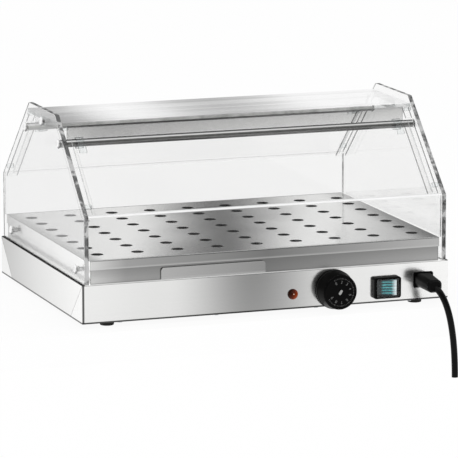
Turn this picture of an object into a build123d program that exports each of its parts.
from build123d import *
import math
import os

# Countertop heated display case: stainless heated base with a perforated
# warm plate and a humidity drawer, under a clear acrylic hood whose front and
# rear flaps swing up on two chromed rods.
# Frame: millimetres, +Z up, origin at the centre of the base's footprint on
# the counter. The operator's panel faces -Y, +X is to the operator's right.

# ------------------------------------------------------- driving dimensions
BASE_W = 500.0       # X
BASE_D = 356.0       # Y
FOOT_H = 6.5
HOUSE_H = 50.0       # height of the folded housing
SHEET = 1.2          # stainless sheet thickness
DECK_X = 238.9       # half width of the warm plate over its flange
DECK_Y = 174.6       # half depth of the warm plate over its flange
DECK_H = 30.1        # warm plate top above the housing top
FRAME_X = 237.5      # half width of the frame under the warm plate
FRAME_Y = 173.2      # half depth of the frame under the warm plate
PANEL_T = 5.8        # side panel thickness
PANEL_X = 246.6      # outer face of the side panels
PANEL_Y = 177.2      # half depth of the side panels at the bottom
PANEL_TOP_Y = 57.3   # half depth of the side panels at the top
KNEE_H = 86.2        # side panel knee above the housing top
HOOD_H = 199.1       # side panel top above the housing top
CLEAR_T = 4.0        # thickness of the lower panels and flaps
ROD_R = 5.0          # chromed rods
ROD_Y = 72.0
ROD_Z = 220.7
COVER_T = 5.0        # top cover thickness
COVER_Z = 246.5      # upper face of the top cover

# Derived levels and faces
BASE_Z = FOOT_H                  # underside of the housing
FLOOR_Z = BASE_Z + SHEET         # upper face of the bottom cover
HOUSE_Z = BASE_Z + HOUSE_H       # housing top
CEILING_Z = HOUSE_Z - SHEET      # underside of the housing top
DECK_Z = HOUSE_Z + DECK_H        # warm plate top
KNEE_Z = HOUSE_Z + KNEE_H
HOOD_Z = HOUSE_Z + HOOD_H
FRONT_Y = -BASE_D / 2            # front face of the housing
WALL_Y = FRONT_Y + SHEET         # inner face of the front wall
HOOD_X = PANEL_X - PANEL_T       # inner face of the side panels
COVER_Z0 = COVER_Z - COVER_T     # underside of the top cover
SLOPE = math.atan2(HOOD_Z - KNEE_Z, PANEL_Y - PANEL_TOP_Y)
SLOPE_Y, SLOPE_Z = math.cos(SLOPE), math.sin(SLOPE)
SIDES = (-1, 1)
CORNERS = [(sx, sy) for sx in SIDES for sy in SIDES]


# ------------------------------------------------------------------- helpers
def box(x0, x1, y0, y1, z0, z1):
    return Pos((x0 + x1) / 2, (y0 + y1) / 2, (z0 + z1) / 2) * Box(
        abs(x1 - x0), abs(y1 - y0), abs(z1 - z0))


def mid_box(half_x, half_y, z0, z1):
    """Box centred on the Z axis."""
    return box(-half_x, half_x, -half_y, half_y, z0, z1)


def box_y(x, z, half_x, half_z, y0, y1):
    """Box centred on the line through (x, z) along Y."""
    return box(x - half_x, x + half_x, y0, y1, z - half_z, z + half_z)


def rod_x(x0, x1, y, z, r):
    return Pos((x0 + x1) / 2, y, z) * Rot(0, 90, 0) * Cylinder(r, abs(x1 - x0))


def rod_y(x, y0, y1, z, r):
    return Pos(x, (y0 + y1) / 2, z) * Rot(90, 0, 0) * Cylinder(r, abs(y1 - y0))


def rod_z(x, y, z0, z1, r):
    return Pos(x, y, (z0 + z1) / 2) * Cylinder(r, abs(z1 - z0))


def hexagon(place, radius, half_height):
    """Hexagonal prism, radius to its corners, centred at place."""
    return place * extrude(RegularPolygon(radius, 6), amount=half_height, both=True)


def round_along(part, axis, radius):
    """Fillet every edge parallel to axis."""
    return fillet(part.edges().filter_by(axis), radius)


def round_face(part, axis, index, radius):
    """Fillet the rim of one end face: index 0 lowest on axis, -1 highest."""
    return fillet(part.faces().sort_by(axis)[index].edges(), radius)


def prism_x(points, x0, x1):
    """A (y, z) outline pushed along X from x0 to x1."""
    face = make_face(Polyline(*[(x0, y, z) for y, z in points], close=True))
    return extrude(face, amount=x1 - x0, dir=(1, 0, 0))


def revolve_y(x, z, points):
    """A (radius, y) outline turned about the line through (x, z) along Y."""
    face = make_face(Polyline(*[(x + r, y, z) for r, y in points], close=True))
    return revolve(face, axis=Axis((x, 0, z), (0, 1, 0)), revolution_arc=360)


def on_slope(along, depth, side):
    """(y, z) at a distance up the slope from the knee and inwards; side -1 is the front."""
    y = -PANEL_Y + SLOPE_Y * along + SLOPE_Z * depth
    z = KNEE_Z + SLOPE_Z * along - SLOPE_Y * depth
    return (y if side < 0 else -y, z)


def slab(along0, along1, depth0, depth1, x0, x1, side):
    """A straight bar or sheet lying parallel to the slope."""
    corners = ((along0, depth0), (along1, depth0), (along1, depth1), (along0, depth1))
    return prism_x([on_slope(*corner, side) for corner in corners], x0, x1)


def pipe(p0, p1, p2, p3, r, tight=False):
    """Round cord of radius r along one cubic curve from p0 to p3. tight follows a U-turn."""
    path = Bezier(p0, p1, p2, p3)
    profile = Plane(origin=path @ 0, z_dir=path % 0) * Circle(r)
    return sweep(profile, path=path, is_frenet=tight)


def save(name, shapes):
    if not isinstance(shapes, (list, tuple)):
        shapes = [shapes]
    solids = [solid for shape in shapes for solid in shape.solids()]
    export_step(Compound(solids), "parts/%s.step" % name)


# -------------------------------------------------------------- base housing
LIP = 12.0           # inward lip at the bottom of the housing
SEAM_DEPTH = 0.3
FOOT_R = 9.75
FOOT_SCREW_R = 2.0
FOOT_XY = [(sx * 211.0, sy * 158.0) for sx, sy in CORNERS]
BOTTOM_SCREW_R = 1.5
BOTTOM_SCREW_XY = [(x, y) for y in (-170.8, 170.8) for x in (-198, -68, 68, 198)]

# Front panel fittings: centres on the panel and their sizes
KNOB_X, KNOB_Z = 90.5, 28.7      # thermostat axis
THERMO_SCREW_X = [KNOB_X + dx for dx in (-14, 14)]
LAMP_X, LAMP_Z = 33.6, 25.9      # indicator lamp axis
SWITCH_X, SWITCH_Z = 162.4, 26.4
INLET_X, INLET_Z = 214.6, 32.8   # power inlet


def housing_shell():
    shell = mid_box(BASE_W / 2, BASE_D / 2, BASE_Z, HOUSE_Z)
    shell = round_along(shell, Axis.Z, 1.6)
    shell = round_face(shell, Axis.Z, -1, 1.0)
    inner_x = BASE_W / 2 - SHEET
    shell -= mid_box(inner_x, -WALL_Y, BASE_Z - 1, CEILING_Z)
    lip = mid_box(inner_x, -WALL_Y, FLOOR_Z, FLOOR_Z + SHEET)
    lip -= mid_box(BASE_W / 2 - LIP, BASE_D / 2 - LIP, BASE_Z, BASE_Z + 4)
    shell += lip
    # mitred corner seams on the two side faces
    for sx, sy in CORNERS:
        shell -= (Pos(sx * BASE_W / 2, sy * (BASE_D / 2 - HOUSE_H / 2), BASE_Z + HOUSE_H / 2)
                  * Rot(-45 * sy, 0, 0) * Box(2 * SEAM_DEPTH, 0.45, HOUSE_H * 1.36))
    # openings in the front wall
    y0, y1 = FRONT_Y - 1, WALL_Y + 1
    shell -= rod_y(KNOB_X, y0, y1, KNOB_Z, 5.0)
    for x in THERMO_SCREW_X:
        shell -= rod_y(x, y0, y1, KNOB_Z, 1.75)
    shell -= rod_y(LAMP_X, y0, y1, LAMP_Z, 5.1)
    shell -= box_y(SWITCH_X, SWITCH_Z, 16, 12, y0, y1)
    shell -= box_y(INLET_X, INLET_Z, 13.1, 9.5, y0, y1)
    # screw holes in the bottom lip
    for x, y in BOTTOM_SCREW_XY:
        shell -= rod_z(x, y, BASE_Z, BASE_Z + 4, BOTTOM_SCREW_R)
    return shell


def bottom_cover():
    inset = 1.6
    cover = mid_box(BASE_W / 2 - inset, BASE_D / 2 - inset, BASE_Z, FLOOR_Z)
    for x, y in BOTTOM_SCREW_XY:
        cover -= rod_z(x, y, BASE_Z - 1, BASE_Z + 3, BOTTOM_SCREW_R + 0.2)
    for x, y in FOOT_XY:
        cover -= rod_z(x, y, BASE_Z - 1, BASE_Z + 3, FOOT_SCREW_R)
    return cover


def bottom_screws():
    return [rod_z(x, y, BASE_Z - 1.7, BASE_Z, 3.0)
            + rod_z(x, y, BASE_Z - 0.5, BASE_Z + 5.0, BOTTOM_SCREW_R)
            for x, y in BOTTOM_SCREW_XY]


def rubber_feet():
    feet = []
    for x, y in FOOT_XY:
        foot = Pos(x, y, FOOT_H / 2) * Cone(FOOT_R - 0.9, FOOT_R, FOOT_H)
        foot = fillet(foot.edges().sort_by(Axis.Z)[0], 0.8)
        foot -= rod_z(x, y, -1, 3.2, 4.2)
        foot -= rod_z(x, y, 0, FOOT_H + 1, FOOT_SCREW_R)
        feet.append(foot)
    return feet


def foot_screws():
    return [rod_z(x, y, 1.0, 3.2, 3.6) + rod_z(x, y, 2, FLOOR_Z + 6.5, FOOT_SCREW_R)
            for x, y in FOOT_XY]


def foot_nuts():
    half = 1.6
    return [hexagon(Pos(x, y, FLOOR_Z + half), 4.04, half) - rod_z(x, y, 0, 30, FOOT_SCREW_R)
            for x, y in FOOT_XY]


# ------------------------------------------------------- warm deck and drawer
FLANGE_H = 12.0      # down-turned flange of the warm plate
HOLE_R = 8.0
HOLE_PITCH_X, HOLE_COUNT_X = 54.0, 9
HOLE_PITCH_Y, HOLE_COUNT_Y = 45.0, 7
SCREW_R = 2.5        # rod and side panel screws
PANEL_SCREW_Y, PANEL_SCREW_Z = 141.0, 71.0
DRAWER_X0, DRAWER_X1 = -144.0, -2.5     # left and right edges of the drawer front
DRAWER_H = 15.2
DRAWER_GAP = 0.3     # drawer front above the housing top
TRAY_L = 298.0
TRAY_WALL = 1.0
TRAY_X0, TRAY_X1 = DRAWER_X0 + 2.6, DRAWER_X1 - 2.6
TRAY_Y0 = -FRAME_Y - 0.3
TRAY_Y1 = TRAY_Y0 + TRAY_L


def perforated_plate():
    flange_z = DECK_Z - FLANGE_H
    plate = mid_box(DECK_X, DECK_Y, flange_z, DECK_Z)
    plate = round_along(plate, Axis.Z, 1.4)
    plate = round_face(plate, Axis.Z, -1, 1.1)
    plate -= mid_box(DECK_X - SHEET, DECK_Y - SHEET, flange_z - 1, DECK_Z - SHEET)
    plate -= [rod_z((i - (HOLE_COUNT_X - 1) / 2) * HOLE_PITCH_X,
                    (j - (HOLE_COUNT_Y - 1) / 2) * HOLE_PITCH_Y, DECK_Z - 4, DECK_Z + 2, HOLE_R)
              for i in range(HOLE_COUNT_X) for j in range(HOLE_COUNT_Y)]
    return plate


def deck_frame():
    rim = 9
    frame = mid_box(FRAME_X, FRAME_Y, HOUSE_Z, DECK_Z - SHEET)
    frame -= mid_box(FRAME_X - SHEET, FRAME_Y - SHEET, HOUSE_Z - 1, DECK_Z - 2 * SHEET)
    frame -= mid_box(FRAME_X - rim, FRAME_Y - rim, DECK_Z - 5, DECK_Z)
    # drawer opening
    frame -= box(DRAWER_X0 + 2, DRAWER_X1 - 2, -FRAME_Y - 1, -FRAME_Y + 2,
                 HOUSE_Z - 1, HOUSE_Z + 14.7)
    for sx, sy in CORNERS:
        frame -= rod_x(sx * (FRAME_X - 3), sx * (FRAME_X + 3), sy * PANEL_SCREW_Y,
                       PANEL_SCREW_Z, SCREW_R)
    return frame


def water_drawer():
    floor_z = HOUSE_Z + 0.6
    tray = box(TRAY_X0, TRAY_X1, TRAY_Y0, TRAY_Y1, floor_z, HOUSE_Z + 14.0)
    tray = round_along(tray, Axis.Z, 3.0)
    cavity = box(TRAY_X0 + TRAY_WALL, TRAY_X1 - TRAY_WALL, TRAY_Y0 + TRAY_WALL,
                 TRAY_Y1 - TRAY_WALL, floor_z + TRAY_WALL, HOUSE_Z + 20)
    return tray - round_along(cavity, Axis.Z, 2.0)


def drawer_front():
    z0 = HOUSE_Z + DRAWER_GAP
    front = box(DRAWER_X0, DRAWER_X1, TRAY_Y0 - 2.2, TRAY_Y0, z0, z0 + DRAWER_H)
    front = fillet(front.edges().filter_by(Axis.Y).sort_by(Axis.Z)[-2:], 4.0)
    return round_face(front, Axis.Y, 0, 0.6)


def drawer_guides():
    """Angle strips at both sides and behind the tray."""
    wall_z, foot_z = HOUSE_Z + 9.5, HOUSE_Z + SHEET
    foot = 9             # width of an angle's foot
    y0, y1 = -FRAME_Y + 4, TRAY_Y1 - 2
    guides = []
    for x, s in ((TRAY_X0 - 1.0, -1), (TRAY_X1 + 1.0, 1)):
        guides.append(box(x, x + s * SHEET, y0, y1, HOUSE_Z, wall_z)
                      + box(x, x + s * foot, y0, y1, HOUSE_Z, foot_z))
    x0, x1, y = TRAY_X0 + 10, TRAY_X1 - 10, TRAY_Y1 + 1
    guides.append(box(x0, x1, y, y + SHEET, HOUSE_Z, wall_z)
                  + box(x0, x1, y, y + foot, HOUSE_Z, foot_z))
    return guides


# ------------------------------------------------------------------- heating
ELEM_R = 3.2         # tubular heater radius
ELEM_Z = CEILING_Z - ELEM_R - 0.1
RUN_PITCH = 60.0
RUN_Y = [(i - 1.5) * RUN_PITCH for i in range(4)]
BEND_X0, BEND_X1 = -190.0, 150.0     # where the left and right bends start
ELEM_END_X = 200.0
ELEM_TAB_X = ELEM_END_X + 5          # tips of the heater's terminals
BULB_R = 3.0
BULB_X = 45.0        # half length of the thermostat bulb
BULB_Z = CEILING_Z - BULB_R - 0.1
THERMO_D = 18.6      # depth of the thermostat behind the front wall


def heating_element():
    """Four runs along X joined by half-round bends."""
    edges = []
    x = ELEM_END_X
    for y, next_y, bend_x in zip(RUN_Y, RUN_Y[1:], (BEND_X0, BEND_X1, BEND_X0)):
        start, end = (bend_x, y, ELEM_Z), (bend_x, next_y, ELEM_Z)
        apex = (bend_x + math.copysign(RUN_PITCH / 2, bend_x), (y + next_y) / 2, ELEM_Z)
        edges.append(Line((x, y, ELEM_Z), start).edge())
        edges.append(ThreePointArc(start, apex, end).edge())
        x = bend_x
    edges.append(Line((x, RUN_Y[-1], ELEM_Z), (ELEM_END_X, RUN_Y[-1], ELEM_Z)).edge())
    profile = Plane(origin=(ELEM_END_X, RUN_Y[0], ELEM_Z), z_dir=(-1, 0, 0)) * Circle(ELEM_R)
    element = sweep(profile, path=Wire(edges))
    for y in (RUN_Y[0], RUN_Y[-1]):
        element += rod_x(ELEM_END_X, ELEM_TAB_X, y, ELEM_Z, 1.6)
    return element


def saddle(x, y, z, r, width):
    """Strap under a tube that runs along X, feet flat against the housing top."""
    x0, x1 = x - width / 2, x + width / 2
    outer = r + 1.2
    strap = box(x0, x1, y - r - 9, y + r + 9, CEILING_Z - 1.2, CEILING_Z)
    strap += rod_x(x0, x1, y, z, outer)
    strap += box(x0, x1, y - outer, y + outer, z, CEILING_Z)
    strap -= rod_x(x - width, x + width, y, z, r)
    strap -= box(x - width, x + width, y - r, y + r, z, CEILING_Z + 1)
    strap &= box(x - width, x + width, y - 30, y + 30, z - 30, CEILING_Z)
    return strap


def heater_clamps():
    return [saddle(x, y, ELEM_Z, ELEM_R + 0.05, 12) for y in RUN_Y for x in (-140, 120)]


def thermostat_bulb():
    """Bulb, and the capillary tube that joins it to the thermostat."""
    z = KNOB_Z + 6
    capillary = pipe((KNOB_X, WALL_Y + THERMO_D, z), (KNOB_X, -100, z),
                     (85, 0, BULB_Z), (BULB_X, 0, BULB_Z), 0.9)
    return [rod_x(-BULB_X, BULB_X, 0, BULB_Z, BULB_R), capillary]


def bulb_clamps():
    return [saddle(x, 0, BULB_Z, BULB_R + 0.05, 8) for x in (-30, 30)]


# --------------------------------------------------------------- thermostat
KNOB_R = 25.5
KNOB_L = 22.8
THERMO_TAB_X = 10.0  # terminal tabs each side of the axis
THERMO_TAB_Y = WALL_Y + 25
THERMO_TAB_Z = KNOB_Z - 9


def thermostat_body():
    back = WALL_Y + THERMO_D
    body = box_y(KNOB_X, KNOB_Z, 19, 15, WALL_Y, back)
    body = round_along(body, Axis.Y, 2.5)
    body += rod_y(KNOB_X, FRONT_Y - 0.8, WALL_Y + 1, KNOB_Z, 4.9)
    body -= rod_y(KNOB_X, FRONT_Y - 5, WALL_Y + 11, KNOB_Z, 3.05)
    for x in THERMO_SCREW_X:
        body -= rod_y(x, WALL_Y - 1, WALL_Y + 6, KNOB_Z, 1.5)
    for s in SIDES:
        body += box_y(KNOB_X + s * THERMO_TAB_X, THERMO_TAB_Z, 3, 0.4, back, THERMO_TAB_Y)
    return body


def thermostat_screws():
    return [rod_y(x, FRONT_Y - 1.4, FRONT_Y, KNOB_Z, 2.9)
            + rod_y(x, FRONT_Y - 0.5, WALL_Y + 5, KNOB_Z, 1.5) for x in THERMO_SCREW_X]


def thermostat_shaft():
    """Shaft with a flat on top of its outer end."""
    shaft = rod_y(KNOB_X, FRONT_Y - 15, WALL_Y + 10.5, KNOB_Z, 3.0)
    return shaft - box(KNOB_X - 4, KNOB_X + 4, FRONT_Y - 16, FRONT_Y - 5,
                       KNOB_Z + 1.8, KNOB_Z + 4)


def thermostat_knob():
    back = FRONT_Y - 1.2
    face = back - KNOB_L
    knob = revolve_y(KNOB_X, KNOB_Z, [      # radius, y
        (0, face + 0.35), (19.2, face + 0.35), (19.7, face), (20.6, face),
        (21.7, face + 0.4), (22.4, face + 1.1), (22.9, face + 2.2),
        (KNOB_R - 0.5, back - 4.6), (KNOB_R, back - 3.8), (KNOB_R, back),
        (KNOB_R - 2.2, back), (KNOB_R - 2.6, back - 12), (9.0, back - 12),
        (7.0, back - 1.0), (0, back - 1.0)])
    return knob - thermostat_shaft()


# ------------------------------------------------------------ indicator lamp
LAMP_R = 6.75
LAMP_BODY_R = 4.95
LAMP_TAB_X = 3.0     # terminal tabs each side of the axis
LAMP_TAB_Y = WALL_Y + 28
LENS = [             # radius, distance in front of the housing
    (0, 7.4), (1.6, 7.25), (3.2, 6.7), (4.6, 5.6), (5.5, 4.2),
    (5.9, 2.6), (6.0, 1.4), (LAMP_R, 1.2), (LAMP_R, 0), (5.0, 0),
    (5.0, 1.0), (4.6, 2.6), (3.6, 4.4), (0, 5.6)]


def indicator_lens():
    return revolve_y(LAMP_X, LAMP_Z, [(r, FRONT_Y - out) for r, out in LENS])


def indicator_body():
    back = WALL_Y + 22
    body = rod_y(LAMP_X, FRONT_Y - 0.9, back, LAMP_Z, LAMP_BODY_R)
    for s in SIDES:
        body += box_y(LAMP_X + s * LAMP_TAB_X, LAMP_Z, 0.4, 2, back, LAMP_TAB_Y)
    return body


def indicator_nut():
    half = 1.5
    nut = hexagon(Pos(LAMP_X, WALL_Y + half, LAMP_Z) * Rot(90, 0, 0), 8.4, half)
    return nut - rod_y(LAMP_X, WALL_Y - 1, WALL_Y + 4, LAMP_Z, LAMP_BODY_R)


# -------------------------------------------------------------- rocker switch
SWITCH_W, SWITCH_H, SWITCH_D = 37.5, 28.0, 8.0
SWITCH_FACE_Y = FRONT_Y - SWITCH_D
SWITCH_TAB_Y = FRONT_Y + 33
ROCKER_TILT = 12.0   # degrees
ROCKER_PLACE = Pos(SWITCH_X, FRONT_Y + 0.1, SWITCH_Z) * Rot(0, 0, -ROCKER_TILT)
PIN_OFFSET = 0.6     # rocker pin behind the rocker's origin
ROCKER = [           # x, y about the rocker's origin
    (-13.5, -4.5), (-12.6, -5.0), (0, -2.6), (12.6, -5.0), (13.5, -4.5),
    (13.6, 1.0), (8, 3.4), (-8, 3.4), (-13.6, 1.0)]


def switch_box(half_x, half_z, y0, y1):
    return box_y(SWITCH_X, SWITCH_Z, half_x, half_z, y0, y1)


def switch_frame():
    frame = switch_box(SWITCH_W / 2, SWITCH_H / 2, SWITCH_FACE_Y, FRONT_Y)
    frame = round_along(frame, Axis.Y, 3.2)
    frame = round_face(frame, Axis.Y, 0, 1.6)
    frame += switch_box(15.9, 11.9, FRONT_Y, FRONT_Y + 6)
    frame -= switch_box(14.5, 10.5, FRONT_Y - 20, FRONT_Y + 10)
    # seat for the switch cover
    return frame - switch_box(16.2, 12.2, FRONT_Y - 20, SWITCH_FACE_Y + 1.2)


def switch_rocker():
    half = 10.1
    face = make_face(Polyline(*[(x, y, -half) for x, y in ROCKER], close=True))
    rocker = extrude(face, amount=2 * half, dir=(0, 0, 1))
    rocker -= rod_z(0, PIN_OFFSET, -20, 20, 1.25)
    return ROCKER_PLACE * rocker


def switch_pin():
    centre = (ROCKER_PLACE * Pos(0, PIN_OFFSET, 0)).position
    return rod_z(centre.X, centre.Y, SWITCH_Z - 10.5, SWITCH_Z + 10.5, 1.2)


def switch_cover():
    cover = switch_box(16.1, 12.1, SWITCH_FACE_Y - 0.9, SWITCH_FACE_Y + 1.2)
    cover = round_face(cover, Axis.Y, 0, 0.7)
    return cover - switch_box(14.3, 10.3, SWITCH_FACE_Y + 0.3, FRONT_Y)


def switch_body():
    body = switch_box(15.4, 11.4, FRONT_Y + 6, FRONT_Y + 26)
    for dx in (-9, 0, 9):
        body += box_y(SWITCH_X + dx, SWITCH_Z, 0.4, 3, FRONT_Y + 26, SWITCH_TAB_Y)
    return body


# ------------------------------------------------------- power inlet and cord
PLUG_Y = FRONT_Y - 43.0          # outer end of the plug
CORD_R = 4.25
CORD_END_Z = -88.0   # the cord hangs over the counter's edge to this level
INLET_TAB_Y = FRONT_Y + 31
PINS = [(INLET_X + dx, INLET_Z + dz) for dx, dz in ((-7.0, 1.6), (7.0, 1.6), (0.0, -2.2))]
GRIP = [             # y, x and z offsets from the inlet, width, height, corner radius
    (FRONT_Y - 1.2, 0, 0, 24.6, 18.2, 6.4),
    (FRONT_Y - 10, -0.1, -0.1, 23.6, 18.0, 7.0),
    (PLUG_Y + 3, -0.6, -1.4, 20.0, 16.6, 6.6),
    (PLUG_Y, -0.4, -1.5, 15.6, 12.6, 5.6)]


def inlet_box(half_x, half_z, y0, y1):
    return box_y(INLET_X, INLET_Z, half_x, half_z, y0, y1)


def power_inlet():
    inlet = inlet_box(13.9, 10.3, FRONT_Y - 0.8, FRONT_Y)
    inlet = round_along(inlet, Axis.Y, 3.0)
    inlet += inlet_box(13.0, 9.4, FRONT_Y, FRONT_Y + 24)
    inlet -= inlet_box(12.1, 8.2, FRONT_Y - 3, FRONT_Y + 16)
    for x, z in PINS:
        inlet += box_y(x, z, 1, 2, FRONT_Y + 0.5, FRONT_Y + 16.5)
        inlet += box_y(x, z, 0.4, 2, FRONT_Y + 24, INLET_TAB_Y)
    return inlet


def grip_section(y, dx, dz, width, height, radius):
    plane = Plane(origin=(INLET_X + dx, y, INLET_Z + dz), x_dir=(1, 0, 0), z_dir=(0, -1, 0))
    return plane * RectangleRounded(width, height, radius)


def power_plug():
    nose = inlet_box(11.8, 7.9, FRONT_Y - 1.4, FRONT_Y + 15)
    for x, z in PINS:
        nose -= box_y(x, z, 1.4, 2.4, FRONT_Y - 0.5, FRONT_Y + 20)
    spans = [loft([grip_section(*near), grip_section(*far)])
             for near, far in zip(GRIP, GRIP[1:])]
    grip = spans[0] + spans[1]
    grip += spans[2]
    return (grip + nose) - power_cord()


def power_cord():
    return pipe((INLET_X - 0.8, PLUG_Y + 9, INLET_Z - 1.7),
                (INLET_X + 7.4, PLUG_Y - 20.0, INLET_Z - 7.2),
                (INLET_X + 23.4, PLUG_Y - 9.0, -20.0),
                (INLET_X + 24.2, PLUG_Y - 9.0, CORD_END_Z), CORD_R)


# ------------------------------------------------------ terminals and wiring
BLOCK_X, BLOCK_Y = 175.0, -60.0
BLOCK_PITCH = 9.6
BLOCK_HALF_Y = 10.0
BLOCK_WIRE_Z = FLOOR_Z + 6.0


def terminal_block():
    block = box(BLOCK_X - 24, BLOCK_X + 24, BLOCK_Y - BLOCK_HALF_Y, BLOCK_Y + BLOCK_HALF_Y,
                FLOOR_Z, FLOOR_Z + 16)
    for k in range(-2, 3):
        for dy in (-5, 5):
            block -= rod_z(BLOCK_X + k * BLOCK_PITCH, BLOCK_Y + dy,
                           FLOOR_Z + 11, FLOOR_Z + 20, 2.2)
    return block


def wiring():
    def level(x, z, *ys):
        """Points at one x and z."""
        return [(x, y, z) for y in ys]

    def block(k, *ys):
        """Points in line with the k-th terminal from the block's middle."""
        return level(BLOCK_X + k * BLOCK_PITCH, BLOCK_WIRE_Z, *ys)

    front, rear = BLOCK_Y - BLOCK_HALF_Y, BLOCK_Y + BLOCK_HALF_Y
    (live_x, pin_z), (neutral_x, _) = PINS[:2]
    thermo_x0, thermo_x1 = KNOB_X - THERMO_TAB_X, KNOB_X + THERMO_TAB_X
    first, last = RUN_Y[0], RUN_Y[-1]
    routes = [
        # inlet live, inlet neutral, to the block
        level(live_x, pin_z, INLET_TAB_Y, -120) + block(1, -95, front),
        level(neutral_x, pin_z, INLET_TAB_Y, -118) + block(2, -95, front),
        # block to switch
        block(0, front, -95) + level(SWITCH_X + 9, SWITCH_Z, -120, SWITCH_TAB_Y),
        # switch to thermostat, a U-turn
        level(SWITCH_X, SWITCH_Z, SWITCH_TAB_Y, -100)
        + level(thermo_x1, THERMO_TAB_Z, -100, THERMO_TAB_Y),
        # thermostat to heater
        level(thermo_x0, THERMO_TAB_Z, THERMO_TAB_Y, -60)
        + [(235, first, ELEM_Z), (ELEM_TAB_X, first, ELEM_Z)],
        # block to heater
        block(1, rear, -10) + [(240, last, ELEM_Z), (ELEM_TAB_X, last, ELEM_Z)],
        # lamp to block
        level(LAMP_X + LAMP_TAB_X, LAMP_Z, LAMP_TAB_Y, -100) + block(-2, -100, front),
    ]
    return [pipe(*route, 1.2, tight=(i == 3)) for i, route in enumerate(routes)]


# ------------------------------------------------------------------ the hood
LOWER_H = 57.6       # height of the lower panels above the warm plate
FLAP_X = 231.8       # half width of the flaps
FLAP_START, FLAP_END = 9.0, 128.0    # along the slope from the knee
FLAP_DEPTH = 4.6     # flap outer face, below the slope line
FLAP_BACK = FLAP_DEPTH + CLEAR_T
ROD_ALONG = SLOPE_Y * (PANEL_Y - ROD_Y) + SLOPE_Z * (ROD_Z - KNEE_Z)
CLIP_BORE = ROD_R + 0.05
CLIP_R = 7.2
CLIP_W = 10.0
CLIP_INSET = 8.0     # clip from the flap's end
LEDGE_W = 14.2
LEDGE_T = 3.0
LEDGE_START, LEDGE_END = 7.0, 152.5  # along the slope
LOWER_PEG_R = 3.1
UPPER_PEG_R = 2.5
UPPER_PEG_Y = 66.2
TOP_SCREW_R = 2.0
TOP_SCREW_Z = COVER_Z0 - 2.3


def side_panel():
    """Left side panel."""
    outline = [(-PANEL_Y, HOUSE_Z), (-PANEL_Y, KNEE_Z), (-PANEL_TOP_Y, HOOD_Z),
               (PANEL_TOP_Y, HOOD_Z), (PANEL_Y, KNEE_Z), (PANEL_Y, HOUSE_Z)]
    panel = prism_x(outline, -PANEL_X, -HOOD_X)
    # top corners, then knees
    panel = fillet(panel.edges().filter_by(Axis.X).sort_by(Axis.Z)[-2:], 4.0)
    panel = fillet(panel.edges().filter_by(Axis.X).sort_by(Axis.Z)[2:4], 2.0)
    x0, x1 = -PANEL_X - 1, -HOOD_X + 1
    for s in SIDES:
        panel -= rod_x(x0, x1, s * ROD_Y, ROD_Z, SCREW_R + 0.2)
        panel -= rod_x(x0, x1, s * PANEL_SCREW_Y, PANEL_SCREW_Z, SCREW_R + 0.2)
    panel -= rod_x(x0, x1, 0, TOP_SCREW_Z, TOP_SCREW_R + 0.2)
    return chamfer(panel.faces().sort_by(Axis.X)[0].outer_wire().edges(), 0.35)


def lower_panel(side):
    panel = box(-HOOD_X, HOOD_X, side * DECK_Y, side * (DECK_Y - CLEAR_T),
                DECK_Z, DECK_Z + LOWER_H)
    return chamfer(panel.faces().sort_by(Axis.Z)[-1].edges().filter_by(Axis.X), 0.4)


def top_cover():
    cover = mid_box(HOOD_X, 66.5, COVER_Z0, COVER_Z)
    return chamfer(cover.edges().filter_by(Axis.X), 0.4)


def top_blocks():
    """Tapped blocks bonded under the ends of the top cover."""
    blocks = []
    for s in SIDES:
        block = box(s * (HOOD_X - 12), s * HOOD_X, -14, 14, COVER_Z0 - 8, COVER_Z0)
        block = chamfer(block.faces().sort_by(Axis.Z)[0].edges(), 0.5)
        blocks.append(block - rod_x(s * (HOOD_X - 10), s * (HOOD_X + 1), 0,
                                    TOP_SCREW_Z, TOP_SCREW_R))
    return blocks


def fascia(side):
    """Upright strip hanging from the top cover, just inward of the rod."""
    return box(-FLAP_X, FLAP_X, side * (ROD_Y - 9.5), side * (ROD_Y - 12.5),
               ROD_Z + 1.8, COVER_Z0)


def hood_rod(side):
    rod = rod_x(-HOOD_X, HOOD_X, side * ROD_Y, ROD_Z, ROD_R)
    for s in SIDES:
        rod -= rod_x(s * (HOOD_X - 14), s * (HOOD_X + 1), side * ROD_Y, ROD_Z, SCREW_R)
    return rod


def flap(side):
    sheet = slab(FLAP_START, FLAP_END, FLAP_DEPTH, FLAP_BACK, -FLAP_X, FLAP_X, side)
    return chamfer(sheet.edges().filter_by(Axis.X), 0.4)


def flap_clips(side):
    """Clips round the rod, cut flat against the flap's inner face."""
    clips = []
    for s in SIDES:
        outer = FLAP_X - CLIP_INSET
        x0, x1 = sorted((s * outer, s * (outer - CLIP_W)))
        clip = rod_x(x0, x1, side * ROD_Y, ROD_Z, CLIP_R)
        clip += slab(ROD_ALONG - 20, ROD_ALONG - 2.5, FLAP_BACK, FLAP_BACK + 3.0, x0, x1, side)
        clip &= slab(ROD_ALONG - 40, ROD_ALONG + 40, FLAP_BACK, FLAP_BACK + 40, x0, x1, side)
        clip -= rod_x(x0 - 1, x1 + 1, side * ROD_Y, ROD_Z, CLIP_BORE)
        clips.append(clip)
    return clips


def ledges():
    """Left ledges the flaps rest on, interrupted at the rods."""
    depth = FLAP_BACK + 0.1
    spans = ((LEDGE_START, ROD_ALONG - 4.6, -HOOD_X + LEDGE_W),
             (ROD_ALONG + 5.0, LEDGE_END, -FLAP_X - 0.5))
    return [slab(start, end, depth, depth + LEDGE_T, -HOOD_X, x1, side)
            for side in SIDES for start, end, x1 in spans]


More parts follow.
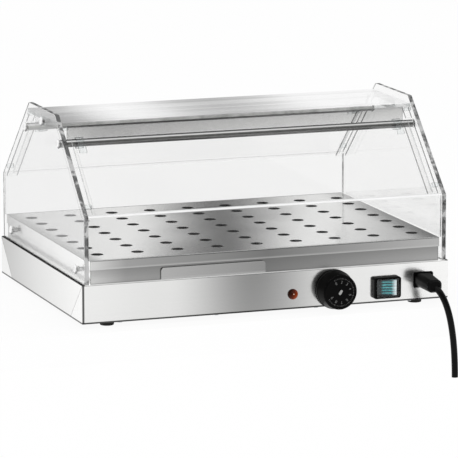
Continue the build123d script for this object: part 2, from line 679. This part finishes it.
def pegs():
    """Left pegs: near the knees and under the top cover."""
    x1 = -FLAP_X - 0.4
    parts = []
    for side in SIDES:
        parts.append(rod_x(-HOOD_X, x1, *on_slope(18.0, 1.7, side), LOWER_PEG_R))
        parts.append(rod_x(-HOOD_X, x1, side * UPPER_PEG_Y, COVER_Z0 - UPPER_PEG_R,
                           UPPER_PEG_R))
    return parts


# ------------------------------------------------------------ hood fasteners
HEAD_R = 6.25        # domed screw head
HEAD_H = 3.6


def dome_screw(side, y, z, shank_r, end_x):
    """Screw through a side panel, its shank ending end_x from the middle."""
    x = side * PANEL_X
    end = side * end_x
    dome_r = (HEAD_R ** 2 + HEAD_H ** 2) / (2 * HEAD_H)
    half_angle = math.asin(HEAD_R / dome_r) / 2
    mid = (x + side * (HEAD_H - dome_r + dome_r * math.cos(half_angle)),
           y + dome_r * math.sin(half_angle), z)
    tip = (x + side * HEAD_H, y, z)
    edges = [ThreePointArc(tip, mid, (x, y + HEAD_R, z)),
             Polyline((x, y + HEAD_R, z), (x, y + shank_r, z), (end, y + shank_r, z),
                      (end, y, z), tip)]
    return revolve(make_face(edges), axis=Axis((0, y, z), (1, 0, 0)), revolution_arc=360)


def rod_screws():
    return [dome_screw(sx, sy * ROD_Y, ROD_Z, SCREW_R, HOOD_X - 12) for sx, sy in CORNERS]


def top_screws():
    return [dome_screw(s, 0, TOP_SCREW_Z, TOP_SCREW_R, HOOD_X - 9.5) for s in SIDES]


def panel_screws():
    return [dome_screw(sx, sy * PANEL_SCREW_Y, PANEL_SCREW_Z, SCREW_R, FRAME_X - 8)
            for sx, sy in CORNERS]


def panel_nuts():
    half = 2.0
    nuts = []
    for sx, sy in CORNERS:
        y = sy * PANEL_SCREW_Y
        place = Pos(sx * (FRAME_X - SHEET - half), y, PANEL_SCREW_Z) * Rot(0, 90, 0)
        nuts.append(hexagon(place, 4.6, half)
                    - rod_x(sx * (FRAME_X + 5), sx * (FRAME_X - 10), y, PANEL_SCREW_Z, SCREW_R))
    return nuts


def panel_spacers():
    return [rod_x(sx * HOOD_X, sx * FRAME_X, sy * PANEL_SCREW_Y, PANEL_SCREW_Z, 3.5)
            - rod_x(sx * (HOOD_X + 1), sx * (FRAME_X - 1), sy * PANEL_SCREW_Y,
                    PANEL_SCREW_Z, SCREW_R + 0.05) for sx, sy in CORNERS]


# -------------------------------------------------------------------- export
os.makedirs("parts", exist_ok=True)

for piece in (
        housing_shell, bottom_cover, bottom_screws, rubber_feet, foot_screws, foot_nuts,
        perforated_plate, deck_frame, water_drawer, drawer_front, drawer_guides,
        heating_element, heater_clamps, thermostat_bulb, bulb_clamps,
        thermostat_body, thermostat_screws, thermostat_shaft, thermostat_knob,
        indicator_lens, indicator_body, indicator_nut,
        switch_frame, switch_rocker, switch_pin, switch_cover, switch_body,
        power_inlet, power_plug, power_cord, terminal_block, wiring, top_cover, top_blocks,
        rod_screws, top_screws, panel_screws, panel_nuts, panel_spacers):
    save(piece.__name__, piece())

for end, side in (("front", -1), ("rear", 1)):
    save(end + "_lower_panel", lower_panel(side))
    save(end + "_fascia", fascia(side))
    save(end + "_rod", hood_rod(side))
    save(end + "_flap", flap(side))
    save(end + "_flap_clips", flap_clips(side))

for name, parts in (("side_panel", [side_panel()]), ("ledges", ledges()), ("pegs", pegs())):
    save(name + "_left", parts)
    save(name + "_right", [mirror(part, about=Plane.YZ) for part in parts])
